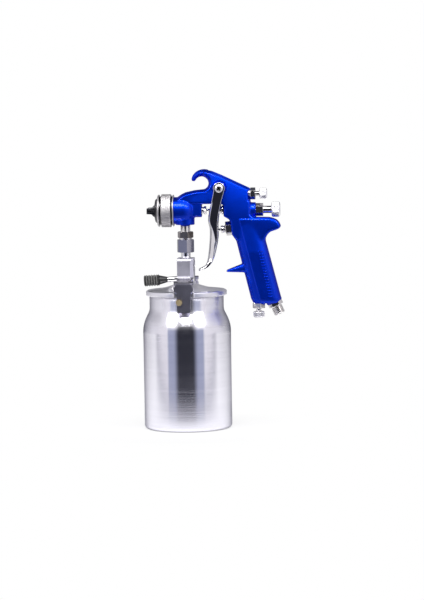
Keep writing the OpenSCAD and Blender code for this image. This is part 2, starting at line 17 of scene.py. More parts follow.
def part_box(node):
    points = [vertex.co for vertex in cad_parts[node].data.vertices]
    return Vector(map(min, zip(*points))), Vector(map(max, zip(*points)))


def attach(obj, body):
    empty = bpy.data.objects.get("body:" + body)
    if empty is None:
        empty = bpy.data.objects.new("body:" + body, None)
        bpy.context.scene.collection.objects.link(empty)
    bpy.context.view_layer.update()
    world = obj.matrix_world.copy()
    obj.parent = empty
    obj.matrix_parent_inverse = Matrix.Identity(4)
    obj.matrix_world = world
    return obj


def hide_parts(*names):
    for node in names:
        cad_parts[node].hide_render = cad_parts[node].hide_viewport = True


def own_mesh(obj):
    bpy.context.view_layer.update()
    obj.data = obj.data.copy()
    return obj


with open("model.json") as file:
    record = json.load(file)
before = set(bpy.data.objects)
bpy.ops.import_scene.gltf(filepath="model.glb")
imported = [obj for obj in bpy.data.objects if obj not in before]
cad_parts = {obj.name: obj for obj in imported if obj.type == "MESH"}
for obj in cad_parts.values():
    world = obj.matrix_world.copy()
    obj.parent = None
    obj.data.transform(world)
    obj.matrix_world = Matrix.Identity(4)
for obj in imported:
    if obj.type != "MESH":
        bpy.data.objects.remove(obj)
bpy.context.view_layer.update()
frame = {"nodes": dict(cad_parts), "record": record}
cad = frame["nodes"]
MM = 0.001
print("CAD nodes:", len(cad))

# %% [markdown]
# ## The camera
#
# A product picture is taken from far away with a long lens, so that near and far parts keep their sizes.
# Three metres and a lens to match give that look. The camera is turned a little to the handle's side,
# looks slightly down, and is rolled by under a degree, as a hand-held camera is.

# %% Camera
PHOTO_W, PHOTO_H = 424, 600
PIXEL = 1.143 * MM  # what one pixel covers at the gun
BASE_AT = (188.7, 427.3)  # the pixel in which the middle of the cup's base falls
DISTANCE = 3.0
azimuth, elevation, roll = (math.radians(a) for a in (3.5, 4.5, 0.9))

back = Vector((
    math.sin(azimuth) * math.cos(elevation), -math.cos(azimuth) * math.cos(elevation), math.sin(elevation)
))
level = Vector((math.cos(azimuth), math.sin(azimuth), 0))
upright = back.cross(level)
right = level * math.cos(roll) - upright * math.sin(roll)
up = upright * math.cos(roll) + level * math.sin(roll)
aim = right * (PHOTO_W / 2 - BASE_AT[0]) * PIXEL + up * (BASE_AT[1] - PHOTO_H / 2) * PIXEL

lens = bpy.data.cameras.new("camera")
lens.sensor_width = 36
lens.lens = lens.sensor_width * DISTANCE / (PHOTO_H * PIXEL)
camera = bpy.data.objects.new("camera", lens)
bpy.context.scene.collection.objects.link(camera)
camera.matrix_world = Matrix.Translation(aim + back * DISTANCE) @ Matrix((right, up, back)).transposed().to_4x4()
bpy.context.scene.camera = camera
print("lens", round(lens.lens, 1), "mm, aimed at", [round(c, 3) for c in aim])

# %% [markdown]
# ## Nodes as sums
#
# Wiring shader nodes by hand takes many lines. Here one small class wraps an output socket, so that
# `1 - mask` or `grain * 0.2` adds the Math nodes for it. Its `node` method adds any other node: the type
# comes first, then the settings, then a value or a wire for each socket. `parts` splits a vector, and `fade`
# makes a mask from a value that runs across a surface or a sky.

# %% A wire between nodes
class Wire:
    """An output socket of a node tree, or just the tree, ready for more nodes."""

    def __init__(self, tree, socket=None):
        self.tree = tree
        self.socket = socket

    def node(self, kind, settings=None, sockets=None, out=0):
        made = self.tree.nodes.new("ShaderNode" + kind)
        for name, value in (settings or {}).items():
            if name == "stops":
                points = made.color_ramp.elements
                while len(points) < len(value):
                    points.new(1)
                for point, (place, shade) in zip(points, value):
                    point.position = place
                    point.color = (*shade, 1)
            else:
                setattr(made, name, value)
        for name, value in (sockets or {}).items():
            if isinstance(value, Wire):
                self.tree.links.new(value.socket, made.inputs[name])
            elif isinstance(value, tuple) and len(value) == 3 and made.inputs[name].type == "RGBA":
                made.inputs[name].default_value = (*value, 1)
            else:
                made.inputs[name].default_value = value
        return Wire(self.tree, made.outputs[out] if len(made.outputs) else None)

    def math(self, operation, a, b=0.0):
        return self.node("Math", {"operation": operation}, {0: a, 1: b})

    def mix(self, factor, a, b):
        return self.node("Mix", {"data_type": "RGBA"}, {0: factor, 6: a, 7: b}, out=2)

    def parts(self):
        """The x, y and z of a vector, as three wires."""
        split = self.node("SeparateXYZ", sockets={0: self})
        return [Wire(self.tree, out) for out in split.socket.node.outputs]

    def fade(self, start, end):
        """1 before start, 0 after end, and smooth between them."""
        return self.node("MapRange", {"interpolation_type": "SMOOTHSTEP"}, {0: self, 1: start, 2: end, 3: 1.0, 4: 0.0})

    def __add__(self, other):
        return self.math("ADD", self, other)

    def __radd__(self, other):
        return self.math("ADD", other, self)

    def __sub__(self, other):
        return self.math("SUBTRACT", self, other)

    def __rsub__(self, other):
        return self.math("SUBTRACT", other, self)

    def __mul__(self, other):
        return self.math("MULTIPLY", self, other)

    def __rmul__(self, other):
        return self.math("MULTIPLY", other, self)


# %% [markdown]
# ## Light
#
# Bright metal shows what stands round it. Here flat metal that faces the camera is nearly black, while rounded
# metal turns white within a few degrees, as in a white tent that is open towards the camera. A real tent could be
# modelled round the gun, but a world that has a colour for each direction does the same without a mesh: a dark
# arch in front, a blue-grey skirt beside it at eye level, a dark flag high at the back, dark cloth overhead that
# draws the top edges, and pale walls and roof. Only the camera sees plain white.

# %% World
world = bpy.data.worlds.new("tent")
world.use_nodes = True
world.node_tree.nodes.clear()
tent = Wire(world.node_tree)
east, north, height = tent.node("TexCoord", out="Generated").parts()
turn = tent.math("ABSOLUTE", tent.math("ARCTAN2", east, 0 - north)) * (1 / math.pi)  # 0 in front, 1 behind
above = tent.math("MAXIMUM", height, 0.0)
ARCH_WIDE, ARCH_HIGH = 0.143, 0.80
walls = tent.node("ValToRGB", {"stops": [
    (0.0, (0.88, 0.87, 0.92)), (0.38, (0.88, 0.86, 0.91)), (0.56, (0.78, 0.77, 0.82)), (0.78, (0.46, 0.46, 0.50)),
    (1.0, (0.22, 0.22, 0.25)),
]}, {0: turn})
with_roof = tent.mix(height.fade(0.30, 0.62), (0.95, 0.94, 0.97), walls)
skirt = turn.fade(0.262, 0.276) * height.fade(0.22, 0.34)
with_skirt = tent.mix(skirt, with_roof, (0.37, 0.40, 0.55))
flag = (1 - turn.fade(0.50, 0.70)) * (1 - height.fade(0.46, 0.60))
overhead = 1 - height.fade(0.93, 0.985)
with_flag = tent.mix(1 - (1 - flag) * (1 - overhead), with_skirt, (0.08, 0.085, 0.11))
arch = tent.math("SQRT", turn * turn * (1 / ARCH_WIDE ** 2) + above * above * (1 / ARCH_HIGH ** 2))
tent_light = tent.mix(arch.fade(0.72, 1.30), with_flag, (0.020, 0.021, 0.032))
seen = tent.node("LightPath", out="Is Camera Ray")
shown = tent.mix(seen, tent_light, (1.0, 1.0, 1.0))
glow = tent.node("Background", sockets={"Color": shown, "Strength": 1.0})
tent.node("OutputWorld", sockets={"Surface": glow})
bpy.context.scene.world = world
bpy.context.scene.view_settings.view_transform = "Standard"
print("world:", len(world.node_tree.nodes), "nodes")

# %% [markdown]
# ## Lamps and floor
#
# Three softboxes stand above the opening of the tent and give the small bright spots and the soft shadow. The floor
# is a white table. A plane with a white emission would lose the shadow, and paint alone would look grey, so the
# camera sees a mix: paint close to the cup, where the shadow lies, and plain white further out. Metal sees a part
# of that white too, in the half of the table behind the gun.

# %% Softboxes
SOFTBOX = (0.55, 0.45)
LAMP_AIM = Vector((0.02, 0, 0.17))
for place, power in ((-0.80, -0.80, 1.10), 9.0), ((0.80, -0.80, 1.10), 9.0), ((0.0, -0.85, 1.27), 12.5):
    lamp = bpy.data.lights.new("softbox", "AREA")
    lamp.shape = "RECTANGLE"
    lamp.size, lamp.size_y = SOFTBOX
    lamp.energy = power
    softbox = bpy.data.objects.new("softbox", lamp)
    bpy.context.scene.collection.objects.link(softbox)
    place = Vector(place)
    facing = (LAMP_AIM - place).to_track_quat("-Z", "Y")
    softbox.matrix_world = Matrix.Translation(place) @ facing.to_matrix().to_4x4()
print("softboxes of", *SOFTBOX, "m, aimed at", *LAMP_AIM)

# %% Floor
bpy.ops.object.select_all(action="DESELECT")
bpy.ops.mesh.primitive_plane_add(size=1)
floor = bpy.context.object
floor.name = "floor"
floor.scale = (3.0, 1.36, 1)
floor.location = (0, 0.40, -0.0004)
bpy.ops.object.transform_apply(location=True, rotation=True, scale=True)
print("floor of", [round(d, 2) for d in floor.dimensions[:2]], "m")

# %% Floor paint
def start(name):
    """A material with no nodes yet, and a wire to add them with."""
    material = bpy.data.materials.new(name)
    material.use_nodes = True
    material.node_tree.nodes.clear()
    return material, Wire(material.node_tree)


white_table, table = start("white_table")
spot = table.node("TexCoord", out="Object")
away = table.node("VectorMath", {"operation": "LENGTH"}, {0: spot}, out="Value")
# Painted shade: in front of the gun the table's paint is dark grey, standing in for the shade under the tent's open
# front, and behind the gun it is pale.
rear_half = 1 - spot.parts()[1].fade(-0.24, 0.02)
paper = table.node("BsdfPrincipled", sockets={
    "Base Color": table.mix(rear_half, (0.24, 0.24, 0.28), (0.86, 0.86, 0.87)), "Roughness": 0.7,
})
backdrop = table.node("Emission", sockets={"Color": (1.0, 1.0, 1.0), "Strength": 1.0})
seen = table.node("LightPath", out="Is Camera Ray")
mirrored = table.node("LightPath", out="Is Glossy Ray") * rear_half * 0.35
far = 1 - 0.25 * away.fade(0.03, 0.16)
table.node("OutputMaterial", sockets={
    "Surface": table.node("MixShader", sockets={0: (seen + mirrored) * far, 1: paper, 2: backdrop}),
})
floor.data.materials.append(white_table)
print("floor paint:", len(white_table.node_tree.nodes), "nodes")

# %% [markdown]
# ## Plated and bare metal
#
# The small fittings are turned from bar and plated. A photograph of metal could be wrapped round each, but layers
# of noise need no picture and no unwrapping: a colour that drifts a little over some centimetres, a roughness with
# smudges in it, and a fine bump. Object coordinates carry the patterns, so they stay on the part when it moves.

# %% A plain metal finish
def noise(tree, scale, detail=2.0, where=None):
    """Noise whose grains are about 1 / scale metres across."""
    where = where or tree.node("TexCoord", out="Object")
    return tree.node("TexNoise", sockets={"Vector": where, "Scale": scale, "Detail": detail})


def bumps(tree, height, strength, depth):
    return tree.node("Bump", sockets={"Strength": strength, "Distance": depth, "Height": height})


def coated(material, tree, layers):
    """Puts the layers of a finish into one shader, and the shader on the surface."""
    shader = tree.node("BsdfPrincipled", sockets=layers)
    tree.node("OutputMaterial", sockets={"Surface": shader})
    return material


def metal(name, colour, rough, smudge=0.08, grain=1400, bump=0.04):
    material, tree = start(name)
    deep = tuple(c * 0.86 for c in colour)
    return coated(material, tree, {
        "Base Color": tree.mix(noise(tree, 60, 3), deep, colour),
        "Metallic": 1.0,
        "Roughness": rough + (noise(tree, 130, 4) - 0.5) * smudge,
        "Normal": bumps(tree, noise(tree, grain), bump, 0.0003),
    })


finishes = {
    "chrome": metal("chrome", (0.80, 0.79, 0.80), 0.10),
    "dark_chrome": metal("dark_chrome", (0.085, 0.085, 0.09), 0.18),
    "nickel": metal("nickel", (0.78, 0.76, 0.75), 0.17),
    "cast_aluminium": metal("cast_aluminium", (0.88, 0.87, 0.91), 0.36, 0.12, 700, 0.12),
    "gunmetal": metal("gunmetal", (0.60, 0.60, 0.66), 0.2),
    "brass": metal("brass", (0.90, 0.73, 0.42), 0.45),
}
satin_nickel = metal("satin_nickel", (0.56, 0.545, 0.55), 0.46, 0.10, 900, 0.05)
plated_steel = metal("plated_steel", (0.42, 0.41, 0.46), 0.16)
worn_steel = metal("worn_steel", (0.42, 0.385, 0.36), 0.20)
pale_steel = metal("pale_steel", (0.90, 0.89, 0.91), 0.42, 0.10, 900, 0.06)
print("metals:", *finishes, "and four of their own")

# %% [markdown]
# ## Spun aluminium
#
# A spun cup keeps the fine rings of the tool that pressed it. They spread a reflection up and down but hardly
# sideways, which is why the cup shows upright bands. Rings as geometry would be far too fine, so noise that is
# stretched round the cup gives their colour and bump, and an anisotropic shader spreads the light. The shoulder
# is duller than the wall, most of all to the left and right.

# %% The cup's finish
def spun_aluminium():
    material, tree = start("spun_aluminium")
    place = tree.node("TexCoord", out="Object")
    across, _, tall = place.parts()
    lines = noise(tree, 1.0, 3.0, tree.node("Mapping", sockets={"Vector": place, "Scale": (9.0, 9.0, 1900.0)}))
    bands = noise(tree, 1.0, 2.0, tree.node("Mapping", sockets={"Vector": place, "Scale": (6.0, 6.0, 260.0)}))
    shoulder = 1 - tall.fade(0.112, 0.126)
    rubbed = shoulder * (1 - tree.math("ABSOLUTE", across).fade(0.021, 0.030))
    return coated(material, tree, {
        "Base Color": tree.mix(bands * 0.6 + lines * 0.4, (0.74, 0.73, 0.785), (0.93, 0.92, 0.97)),
        "Metallic": 1.0,
        "Roughness": 0.13 + (bands - 0.5) * 0.06 + 0.10 * shoulder + 0.26 * rubbed,
        "Specular Tint": (0.40, 0.40, 0.43),
        "Anisotropic": 0.85,
        "Anisotropic Rotation": 0.25,
        "Normal": bumps(tree, lines, 0.2, 0.0002),
    })


finishes["spun_aluminium"] = spun_aluminium()
print("spun aluminium:", len(finishes["spun_aluminium"].node_tree.nodes), "nodes")

# %% [markdown]
# ## Blue enamel
#
# The body wears a blue lacquer with metal flakes under a thin clear coat. A plain glossy plastic would show white
# edges all round. Flakes tint what they mirror, so the shader is nearly all metal, and a dark blue edge tint keeps
# the rounded rims deep in colour.

# %% The body's finish
def blue_enamel():
    material, tree = start("blue_enamel")
    smear, flake = noise(tree, 110, 4), noise(tree, 2600)
    return coated(material, tree, {
        "Base Color": tree.mix(noise(tree, 35, 3), (0.0004, 0.026, 0.47), (0.0006, 0.036, 0.60)),
        "Metallic": 0.92,
        "Roughness": 0.42 + (smear - 0.5) * 0.08 + (flake - 0.5) * 0.06,
        "Specular Tint": (0.03, 0.10, 0.42),
        "Coat Weight": 0.18,
        "Coat Roughness": 0.04,
        "Normal": bumps(tree, noise(tree, 420), 0.05, 0.0004),
    })


finishes["blue_enamel"] = blue_enamel()
print("blue enamel:", len(finishes["blue_enamel"].node_tree.nodes), "nodes")

# %% [markdown]
# ## Plastic and seals
#
# The lever's grip is a moulded black plastic with a painted highlight of grey on its ring crowns, and the seals are a
# pale plastic.
# Both are dull with a fine grain, so one helper makes all three.

# %% Moulded finishes
def moulded(name, colour, rough):
    material, tree = start(name)
    drift = noise(tree, 90, 3)
    return coated(material, tree, {
        "Base Color": tree.mix(drift, tuple(c * 0.8 for c in colour), colour),
        "Roughness": rough + (drift - 0.5) * 0.1,
        "Normal": bumps(tree, noise(tree, 1500), 0.15, 0.0002),
    })


finishes["black_grip"] = moulded("black_grip", (0.020, 0.020, 0.021), 0.34)
finishes["seal"] = moulded("seal", (0.86, 0.86, 0.83), 0.5)
# Painted highlight: a grey for the crowns of the grip's rings.
painted_highlight_grip = moulded("painted_highlight_grip", (0.12, 0.12, 0.115), 0.40)
print("finishes:", *finishes)

# %% [markdown]
# ## The lever and the yoke
#
# Two parts carry two finishes each. The lever is bright steel, and its outer end goes into the grip's black plastic.
# The yoke is satin steel, more matt on its post, where it is also painted paler as painted light. A band in the
# corner at the post's foot is painted dark as painted shade. Faces could be painted one by one, but here a mask from
# the place on the part does it, since both borders are straight.

# %% Finishes with a border
def dipped_lever():
    material, tree = start("dipped_lever")
    dipped = tree.node("TexCoord", out="Object").parts()[0].fade(-0.0212, -0.0206)
    drift = noise(tree, 60, 3)
    steel = tree.mix(drift, (0.70, 0.69, 0.70), (0.82, 0.81, 0.82))
    return coated(material, tree, {
        "Base Color": tree.mix(dipped, steel, (0.016, 0.016, 0.017)),
        "Metallic": 1 - dipped,
        "Roughness": 0.14 + 0.22 * dipped + (drift - 0.5) * 0.08,
    })


def yoke_with_painted_light():
    material, tree = start("yoke_with_painted_light")
    tall = tree.node("TexCoord", out="Object").parts()[2]
    post = 1 - tall.fade(0.166, 0.169)
    # Painted shade: a dark band in the corner at the post's foot.
    corner = tall.fade(0.1722, 0.1732) * (1 - tall.fade(0.1675, 0.1692))
    drift = noise(tree, 60, 3)
    satin = tree.mix(drift, (0.53, 0.52, 0.61), (0.62, 0.61, 0.71))
    # Painted light: the post's steel is painted paler than the rest of the yoke.
    painted_paler_post = tree.mix(drift, (0.58, 0.57, 0.64), (0.69, 0.68, 0.76))
    return coated(material, tree, {
        "Base Color": tree.mix(corner, tree.mix(post, satin, painted_paler_post), (0.20, 0.195, 0.22)),
        "Metallic": 1.0,
        "Roughness": 0.31 + 0.15 * post + (drift - 0.5) * 0.10,
        "Normal": bumps(tree, noise(tree, 900), 0.05, 0.0003),
    })


own_finish = {
    "yoke": yoke_with_painted_light(), "cam_lever": dipped_lever(), "union_nut": plated_steel, "inlet_lock_nut": worn_steel,
}
print("with a finish of their own:", *own_finish)

# %% [markdown]
# ## Paint on the CAD parts
#
# Most fittings keep their CAD meshes, so they only need a finish. Each part's record names one, and the few parts
# above have their own. The pieces that are modelled below are painted as they are made.

# %% Paint the CAD nodes
slots = {part["node"]: part["material_slot"] for part in frame["record"]["subparts"]}
for name, node in cad.items():
    node.data.materials.clear()
    node.data.materials.append(own_finish.get(name) or finishes[slots[name]])
print("painted", len(cad), "nodes")

# %% [markdown]
# ## The cast body
#
# The real body is one aluminium casting under a metallic blue lacquer, so no inner corner on it is sharp and
# every edge is rolled over. Bevels and fillets could be set edge by edge, but a voxel remesh does all of them
# at once: it wraps a copy of the CAD solid in small even faces, and smoothing those rounds the corners.

# %% Copy, apply and dress
AXIS = sum(corner[2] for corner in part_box("fluid_needle")) / 2
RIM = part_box("cup")[1][2]
print("spray axis", round(AXIS / MM, 1), "mm and cup rim", round(RIM / MM, 1), "mm above the table")


def alone(piece):
    """Selects one piece and nothing else."""
    bpy.ops.object.select_all(action="DESELECT")
    piece.select_set(True)
    bpy.context.view_layer.objects.active = piece
    return piece


def apply(piece, kind, **settings):
    """Adds a modifier and bakes it into the mesh."""
    alone(piece)
    modifier = piece.modifiers.new(kind.lower(), kind)
    for name, value in settings.items():
        setattr(modifier, name, value)
    bpy.ops.object.modifier_apply(modifier=modifier.name)
    return piece


def copy_of(node, name):
    """A piece with the CAD node's shape, its loose triangles merged."""
    piece = bpy.data.objects.new(name, cad[node].data.copy())
    piece.data.name = name
    bpy.context.scene.collection.objects.link(piece)
    alone(piece)
    bpy.ops.object.mode_set(mode="EDIT")
    bpy.ops.mesh.select_all(action="SELECT")
    bpy.ops.mesh.remove_doubles(threshold=0.002 * MM)
    bpy.ops.object.mode_set(mode="OBJECT")
    return piece


def dress(piece, body, slot, *nodes, angle=None, finish=None):
    """Gives a finished piece its finish, its body and the CAD nodes that it stands for."""
    alone(piece)
    if angle is None:
        bpy.ops.object.shade_smooth()
    else:
        bpy.ops.object.shade_smooth_by_angle(angle=math.radians(angle))
    piece.data.materials.clear()
    piece.data.materials.append(finish or finishes[slot])
    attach(piece, body)
    if nodes:
        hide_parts(*nodes)
    print(piece.name, "-", len(piece.data.polygons), "faces")
    return piece


# %% Remesh the body
def ease(a, b, x):
    """0 before a, 1 after b, and smooth between them."""
    t = min(1, max(0, (x - a) / (b - a)))
    return t * t * (3 - 2 * t)


VOXEL = 0.68  # fine enough for the panel's step, and under 200,000 triangles in all
casting = copy_of("gun_body", "casting")
apply(casting, "REMESH", mode="VOXEL", voxel_size=VOXEL * MM)
apply(casting, "SMOOTH", factor=0.5, iterations=5)
shoulders = casting.vertex_groups.new(name="shoulders")
for point in casting.data.vertices:
    x, z = point.co.x / MM, (point.co.z - AXIS) / MM
    rear = ease(68, 76, x) * ease(-50, -40, z) * ease(-9, -14, z) * ease(106, 98, x)
    front = ease(53, 56, x) * ease(72, 64, x) * ease(-48, -40, z) * ease(-22, -28, z)
    shoulders.add([point.index], max(rear, front), "REPLACE")
apply(casting, "SMOOTH", factor=0.5, iterations=60, vertex_group="shoulders")
casting.vertex_groups.clear()
print("casting:", len(casting.data.vertices), "points")

# %% [markdown]
# ## Rim, crown and panel
#
# The flanks of the casting aren't flat. They are thick below and thin along the top edge, so that the
# pattern comes out of the mould, and that is what makes the upper half catch the light from above. The bored
# hole along the needle stays round. The handle also carries a raised panel: its edge is a step of about half a
# millimetre, seen as a thin light line that runs down the grip behind the front strap. Both are small, smooth
# moves of the points across the gun. Round the hook and along the crest the edge is rolled over as well: a search
# tree gives each point's distance from the rim, and the nearer it is, the more it is drawn in. A light smoothing
# then takes out the ripple that this leaves.

# %% Find the rim
PIVOT_CLEAR = 8  # no roll this close to the trigger's pivot, where the bosses stand


def on_the_rim(point):
    """True for a point of the web's outline: an edge from which both sides of the gun are in plain view."""
    if abs(point.normal.y) > 0.35 or point.co.z < AXIS + 8 * MM:
        return False
    start = point.co + point.normal * 0.5 * MM
    return not any(casting.ray_cast(start, (0, side, 0))[0] for side in (-1, 1))


bpy.context.view_layer.update()
screw_x, screw_z = (sum(corner[i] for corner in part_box("trigger_screw")) / 2 for i in (0, 2))
edge = [p.co for p in casting.data.vertices if on_the_rim(p)]
edge = [place for place in edge if math.hypot(place.x - screw_x, place.z - screw_z) > PIVOT_CLEAR * MM]
rim = KDTree(len(edge))
for i, place in enumerate(edge):
    rim.insert((place.x, 0, place.z), i)
rim.balance()
print("rim of the web:", len(edge), "points")

# %% Crown, roll and panel
CROWN, ROLL, ROLL_DEEP, PANEL, HOOK_DROP = 0.60, 3.2, 0.80, 0.6, 1.0


def crown(x, z):
    """How far up its own flank a point lies: on the web behind the hook, on the neck in front of it."""
    below_crest, below_neck = 47 - 0.332 * (x - 11) - z, 14 + 0.28 * x - z
    web = 1 - min(1, max(-4.5, below_crest) / 40)
    neck = 0.62 * (1 - min(1, max(0, below_neck) / 16))
    lift = web + (neck - web) * (1 - ease(20, 42, x)) * (1 - ease(22, 36, z))
    most = 0.7 + 2.3 * ease(24, 42, x)
    return most * math.tanh(lift / most)


def panel(x, z):
    """1 on the handle's raised panel and 0 off it."""
    behind_its_edge = x - (61.6 - 0.245 * (z + 10))
    return ease(-0.6, 0.6, min(behind_its_edge, -10.4 - z, z + 104))


rolled = casting.vertex_groups.new(name="rolled")
for point in casting.data.vertices:
    x, y, z = point.co.x / MM, point.co.y / MM, (point.co.z - AXIS) / MM
    outside_bore = ease(6.5, 9, math.hypot(y, z))
    y *= 1 - CROWN * crown(x, z) ** 1.9 * ease(0, 12, x) * outside_bore
    near = max(0, 1 - rim.find((point.co.x, 0, point.co.z))[2] / (ROLL * MM))
    y *= 1 - ROLL_DEEP * near ** 2 / (near + 0.12) * ease(9, 13, z)
    rolled.add([point.index], ease(0, 0.3, near) * ease(11, 15, z), "REPLACE")
    point.co.z -= HOOK_DROP * MM * ease(21, 36, z) * ease(44, 24, x)
    point.co.y = (y + math.copysign(PANEL * panel(x, z) * ease(4, 8, abs(y)), y)) * MM
casting.data.update()
apply(casting, "SMOOTH", factor=0.5, iterations=8, vertex_group="rolled")
casting.vertex_groups.clear()
dress(casting, "gun", "blue_enamel", "gun_body")

# %% [markdown]
# ## Ribs on the grip
#
# Seventeen short ribs on each flank keep the hand from slipping. One is made from a small net of points that is
# laid on the handle's rounded flank, higher along its middle. An Array modifier repeats it down the slanted
# handle, and a Mirror modifier copies the row to the far side.

# %% A net of points
def net(name, rows, columns, where):
    """A grid whose points are moved to where(u, v), in millimetres, with u and v from 0 to 1."""
    bpy.ops.object.select_all(action="DESELECT")
    bpy.ops.mesh.primitive_grid_add(x_subdivisions=columns, y_subdivisions=rows, size=1)
    piece = bpy.context.object
    piece.name = piece.data.name = name
    for point in piece.data.vertices:
        point.co = Vector(where(point.co.y + 0.5, point.co.x + 0.5)) * MM
    piece.data.update()
    return piece


def tidy(piece):
    """Merges points that share a place and turns all faces outwards."""
    alone(piece)
    bpy.ops.object.mode_set(mode="EDIT")
    bpy.ops.mesh.select_all(action="SELECT")
    bpy.ops.mesh.remove_doubles(threshold=0.001 * MM)
    bpy.ops.mesh.normals_make_consistent(inside=False)
    bpy.ops.object.mode_set(mode="OBJECT")
    return piece


# %% Grip ribs
def flank(x, z):
    """How far the handle's side stands from the middle plane, in millimetres, between its front and rear lines."""
    front, rear = 57.4 + 0.2416 * (-34.4 - z), 91.2 + 0.2548 * (-34.6 - z)
    share = abs(2 * x - front - rear) / (rear - front)
    return 13 * max(0, 1 - share ** 2.78) ** 0.36


RIBS, RIB_AT, RIB_DOWN, RIB_PITCH = 17, (85.6, -46.7), (0.215, -1.0), 3.2
RIB_LONG, RIB_WIDE, RIB_HIGH, RIB_SUNK = 6.2, 1.5, 1.7, 0.35


def rib(u, v):
    x = RIB_AT[0] + RIB_LONG * (u - 0.5)
    z = RIB_AT[1] + RIB_WIDE * (v - 0.5)
    high = math.sqrt(max(0, 1 - (2 * v - 1) ** 2)) * ease(0, 0.12, u) * ease(0, 0.12, 1 - u)
    return x, -flank(x, RIB_AT[1]) + RIB_SUNK - RIB_HIGH * high, z + AXIS / MM


ribs = net("grip_ribs", 16, 8, rib)
step = (RIB_DOWN[0] * RIB_PITCH * MM, 0, RIB_DOWN[1] * RIB_PITCH * MM)
apply(ribs, "ARRAY", count=RIBS, use_relative_offset=False, use_constant_offset=True, constant_offset_displace=step)
apply(ribs, "MIRROR", use_axis=(False, True, False), use_mirror_merge=False)
tidy(ribs)
dress(ribs, "gun", "blue_enamel")

# %% [markdown]
# ## Turned pieces
#
# The cup, the ring, the knobs and the lever's grip are turned on a lathe. A profile is drawn as a chain of
# edges, by extruding one point from place to place, and a Screw modifier carries it round the Z axis. The
# helper `filleted` rolls the corners of a profile over, since no turned edge is left sharp.

# %% A lathe
def filleted(points, size, steps=4):
    """The same line with its corners rolled over."""
    points = [Vector(p) for p in points]
    line = [points[0]]
    for a, b, c in zip(points, points[1:], points[2:]):
        cut = min(size, (b - a).length * 0.45, (c - b).length * 0.45)
        first, last = b + (a - b).normalized() * cut, b + (c - b).normalized() * cut
        for i in range(steps + 1):
            t = i / steps
            line.append(first * (1 - t) ** 2 + b * (2 * t * (1 - t)) + last * t * t)
    return line + [points[-1]]


def turned(name, profile, steps=96, place=Matrix()):
    """A profile of (radius, height) in millimetres, turned round Z and put in its place."""
    line = [Vector((r, 0, h)) * MM for r, h in profile]
    bpy.ops.object.select_all(action="DESELECT")
    bpy.ops.mesh.primitive_plane_add(size=MM)
    piece = bpy.context.object
    piece.name = piece.data.name = name
    bpy.ops.object.mode_set(mode="EDIT")
    bpy.ops.mesh.merge(type="CENTER")
    bpy.ops.transform.translate(value=line[0])
    for a, b in zip(line, line[1:]):
        bpy.ops.mesh.extrude_region_move(TRANSFORM_OT_translate={"value": b - a})
    bpy.ops.object.mode_set(mode="OBJECT")
    apply(piece, "SCREW", axis="Z", steps=steps, render_steps=steps, use_merge_vertices=True, merge_threshold=1e-6)
    tidy(piece)
    piece.matrix_world = place
    alone(piece)
    bpy.ops.object.transform_apply(location=True, rotation=True, scale=True)
    return piece


def along_x(x, z):
    """A place on the gun whose Z axis points to the rear, at a height over the spray axis."""
    return Matrix.Translation((x * MM, 0, AXIS + z * MM)) @ Matrix.Rotation(math.pi / 2, 4, "Y")


# %% [markdown]
# ## The pivot bosses
#
# The trigger hangs on a screw through the web. Round the screw, the casting has a flat boss on each side that
# the trigger's eye rubs on. It is turned once, with a flared foot that sinks into the flank, and mirrored.

# %% Pivot bosses
to_viewer = Matrix.Translation((screw_x, 0, screw_z)) @ Matrix.Rotation(math.pi / 2, 4, "X")
boss = filleted([(3.1, 4.0), (3.1, 10.25), (7.3, 10.25), (7.6, 8.6), (9.0, 5.6)], 0.6)
bosses = turned("pivot_bosses", boss, 64, to_viewer)
apply(bosses, "MIRROR", use_axis=(False, True, False), use_mirror_merge=False)
tidy(bosses)
dress(bosses, "gun", "blue_enamel", angle=50)

# %% [markdown]
# ## The pivot screw
#
# The screw's head is a low dome with a cross recess. The dome is turned, two crossed wedges cut the recess with a
# Boolean modifier, and the faces of the cut get a darker finish, as painted shade in the recess.

# %% Pivot screw
RECESS = 1.6
head = -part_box("trigger_screw")[0][1] / MM
shank = [(0, 0.9 - head), (3, 0.9 - head), (3, head - 2.4)]
dome = [(4.75, head - 2.4), (4.75, head - 1.2), (3.4, head - 0.3), (1.5, head), (0, head)]
screw = turned("pivot_screw", filleted(shank + dome, 0.5), 64, to_viewer)
for angle in 32, 122:
    bpy.ops.object.select_all(action="DESELECT")
    bpy.ops.mesh.primitive_cube_add(size=1)
    wedge = bpy.context.object
    for point in wedge.data.vertices:
        long, wide, z = (7.0, 2.3, head + 0.6) if point.co.z > 0 else (2.6, 1.0, head - RECESS)
        point.co = Vector((point.co.x * long, point.co.y * wide, z)) * MM
    wedge.matrix_world = to_viewer @ Matrix.Rotation(math.radians(angle), 4, "Z")
    bpy.context.view_layer.update()
    apply(screw, "BOOLEAN", object=wedge, operation="DIFFERENCE", solver="EXACT")
    bpy.data.objects.remove(wedge)
dress(screw, "gun", "chrome", "trigger_screw", angle=35, finish=pale_steel)
# Painted shade: the faces of the recess take the dark chrome finish.
screw.data.materials.append(finishes["dark_chrome"])
for face in screw.data.polygons:
    at = to_viewer.inverted() @ face.center
    r, depth = math.hypot(at.x, at.y) / MM, head - at.z / MM
    side_of_cut = depth < RECESS + 0.1 and r < 3.6 and face.normal.y > -0.85
    floor_of_cut = abs(depth - RECESS) < 0.05 and r < 2.8
    face.material_index = int(side_of_cut or floor_of_cut)
print("recess faces:", sum(face.material_index for face in screw.data.polygons))

# %% [markdown]
# ## The cup
#
# The cup is drawn and spun from one aluminium sheet: a flat base with a rolled corner, a straight wall, a
# shoulder that curves in, and a narrow neck for the lid. The profile goes up the outside and down the inside,
# so the wall has its real thickness.

